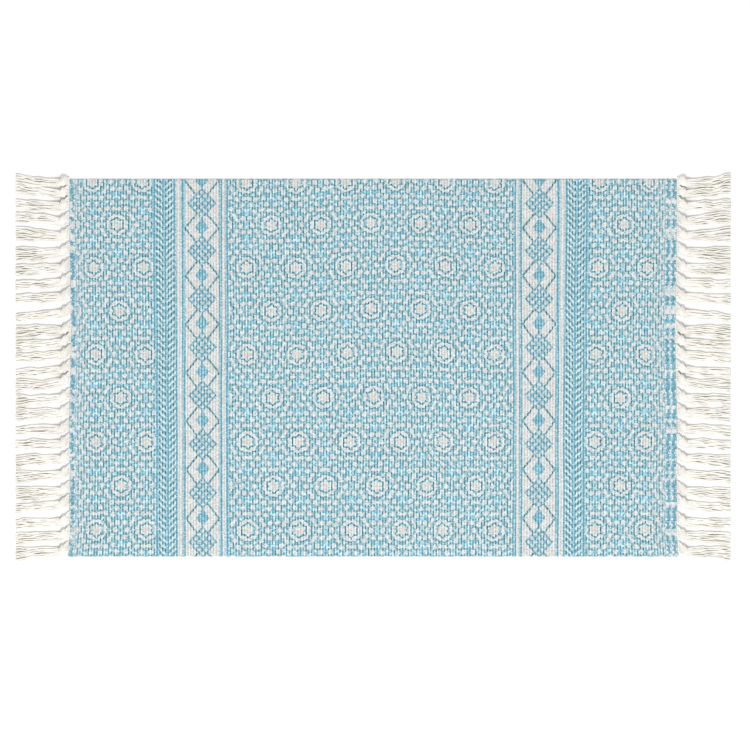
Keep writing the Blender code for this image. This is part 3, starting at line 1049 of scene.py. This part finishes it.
    # Plied yarn: fine slanting ridges along each cord
    ply = add_node(tree, ADD, add_node(tree, DIVIDE, y, CORD_PLY), phase)
    ply = add_node(tree, SINE, add_node(tree, MULTIPLY, ply, math.tau))
    fuzz, _ = add_node(tree, NOISE, weave, 1.4, 3.0)
    relief = add_node(tree, MULTIPLY_ADD, fuzz, 0.8, ply)
    bump = add_node(tree, "ShaderNodeBump", 0.5, 0.00012, None, relief)
    tree.links.new(bump, shader.inputs["Normal"])
    return material


def ivory_material():
    """Undyed cotton yarn, plied and matt: near white, with painted shade in ochre grey down the sides
    of each yarn.
    """
    material, tree, shader = new_material("undyed_plied_cotton", 0.9, 0.15)
    place = add_node(tree, "ShaderNodeTexCoord")[3]
    core, lay = (add_node(tree, ATTRIBUTE, attribute_name=name)[1] for name in ("core", "lay"))
    names = ("run", "tone", "bind")
    run, tone, bind = (add_node(tree, ATTRIBUTE, attribute_name=name)[2] for name in names)
    off_core = add_node(tree, VECTOR_MATH, place, core, operation="SUBTRACT")
    sideways = add_node(tree, VECTOR_MATH, lay, (0.0, 0.0, 1.0), operation="CROSS_PRODUCT")
    aside = add_node(tree, VECTOR_MATH, sideways, off_core, operation="DOT_PRODUCT")
    aside = add_node(tree, DIVIDE, aside, YARN_RADIUS * MM)
    # Painted shade down both sides of each yarn, where the yarns lie in one another's grooves, in
    # patches: ochre and olive on the loose yarns, brown grey in the knot
    painted_groove_shade = add_node(tree, RANGE, add_node(tree, ABSOLUTE, aside), 0.45, 1.0, 0.0, 0.85)
    patch, _ = add_node(tree, NOISE, place, 45.0, 2.0)
    patch = add_node(tree, RANGE, patch, 0.44, 0.58, 0.1, 1.0)
    painted_groove_shade = add_node(tree, MULTIPLY, painted_groove_shade, patch)
    light = add_node(tree, BLEND, tone, linear("#FEFCF8"), linear("#F9F6EE"))
    cast, _ = add_node(tree, NOISE, place, 60.0, 0.0)
    loose = add_node(tree, BLEND, add_node(tree, RANGE, cast, 0.45, 0.55, 0.0, 1.0), linear("#A58A3C"),
                     linear("#8D8D36"))
    painted_shade_colour = add_node(tree, BLEND, bind, loose, linear("#9C8C66"))
    colour = add_node(tree, BLEND, painted_groove_shade, light, painted_shade_colour)
    tree.links.new(colour, shader.inputs["Base Color"])
    ply = add_node(tree, DIVIDE, run, YARN_PLY * MM)
    ply = add_node(tree, MULTIPLY_ADD, aside, 0.4, ply)
    ply = add_node(tree, SINE, add_node(tree, MULTIPLY, ply, math.tau))
    bump = add_node(tree, "ShaderNodeBump", 0.5, 0.00028, None, ply)
    tree.links.new(bump, shader.inputs["Normal"])
    return material


def make_rug(material):
    """The cloth, from its named sizes."""
    return grow("cloth", ribbed_cloth_tree(), {
        "Rib pitch": RIB_PITCH * MM,
        "Ribs": RIBS,
        "End cord width": END_CORD_WIDTH * MM,
        "Half width": (CLOTH_WIDTH / 2 + EDGE_TURN) * MM,
        "Crest": CREST * MM,
        "End crest": END_CREST * MM,
        "Valley": VALLEY * MM,
        "Material": material,
    })


def make_tassels(material):
    """A piece for each tassel, and the solid that it stands for."""
    tree = tassel_tree()
    made = []
    for end, (word, side) in enumerate((("left", -1.0), ("right", 1.0))):
        for number, (knot_y, mid_drift, tip_drift, tip_width) in enumerate(TASSELS, 1):
            to_side = CLOTH_WIDTH / 2 - abs(knot_y) + EDGE_MARGIN
            to_far_side = CLOTH_WIDTH / 2 - knot_y - EDGE_MARGIN
            piece = grow(f"fringe_{word}_{number:02d}", tree, {
                "Root": (half_length(knot_y) + ROOT_GAP) * MM,
                "Knot y": knot_y * MM,
                "Mid drift": mid_drift * MM,
                "Tip drift": tip_drift * MM,
                "Tip width": tip_width * MM,
                "Root width": min(ROOT_WIDTH, 2 * to_side) * MM,
                "Root rise": min(ROOT_RISE, to_far_side) * MM,
                "Side": side,
                "Seed": 100 * end + number,
                "Material": material,
            })
            made.append((piece, f"tassel_{word}_{number:02d}"))
    return made


def make_floor():
    """A wide matt white floor."""
    mesh = bpy.data.meshes.new("floor")
    corners = [(-1, -1), (1, -1), (1, 1), (-1, 1)]
    points = [(x * FLOOR_REACH, y * FLOOR_REACH, FLOOR_LEVEL) for x, y in corners]
    mesh.from_pydata(points, [], [(0, 1, 2, 3)])
    floor = bpy.data.objects.new("floor", mesh)
    bpy.context.collection.objects.link(floor)
    material = bpy.data.materials.new("matt_white_paint")
    material.use_nodes = True
    shader = material.node_tree.nodes["Principled BSDF"]
    shader.inputs["Base Color"].default_value = linear("#FAFAFA")
    shader.inputs["Roughness"].default_value = 1.0
    shader.inputs["Specular IOR Level"].default_value = 0.0
    mesh.materials.append(material)
    return floor


def set_studio():
    """Even white light all round, one soft lamp from the near side, and the camera overhead."""
    scene = bpy.context.scene
    scene.view_settings.view_transform = "Standard"
    world = bpy.data.worlds.new("studio")
    world.use_nodes = True
    sky = world.node_tree.nodes["Background"]
    sky.inputs["Color"].default_value = (1.0, 1.0, 1.0, 1.0)
    sky.inputs["Strength"].default_value = SKY_STRENGTH
    scene.world = world
    lamp_data = bpy.data.lights.new("soft_lamp", "AREA")
    lamp_data.energy = LAMP_POWER
    lamp_data.size = LAMP_SIZE
    lamp = bpy.data.objects.new("soft_lamp", lamp_data)
    lamp.location = LAMP_PLACE
    lamp.rotation_euler = (LAMP_TILT, 0.0, 0.0)
    scene.collection.objects.link(lamp)
    camera_data = bpy.data.cameras.new("camera")
    camera_data.sensor_width = SENSOR_WIDTH
    camera_data.lens = LENS
    camera = bpy.data.objects.new("camera", camera_data)
    camera.location = CAMERA_PLACE
    scene.collection.objects.link(camera)
    scene.camera = camera


set_studio()
make_floor()
cloth = make_rug(cloth_material())
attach(cloth, "root")
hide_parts("rug")
tassels = make_tassels(ivory_material())
for piece, solid in tassels:
    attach(piece, "root")
    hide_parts(solid)
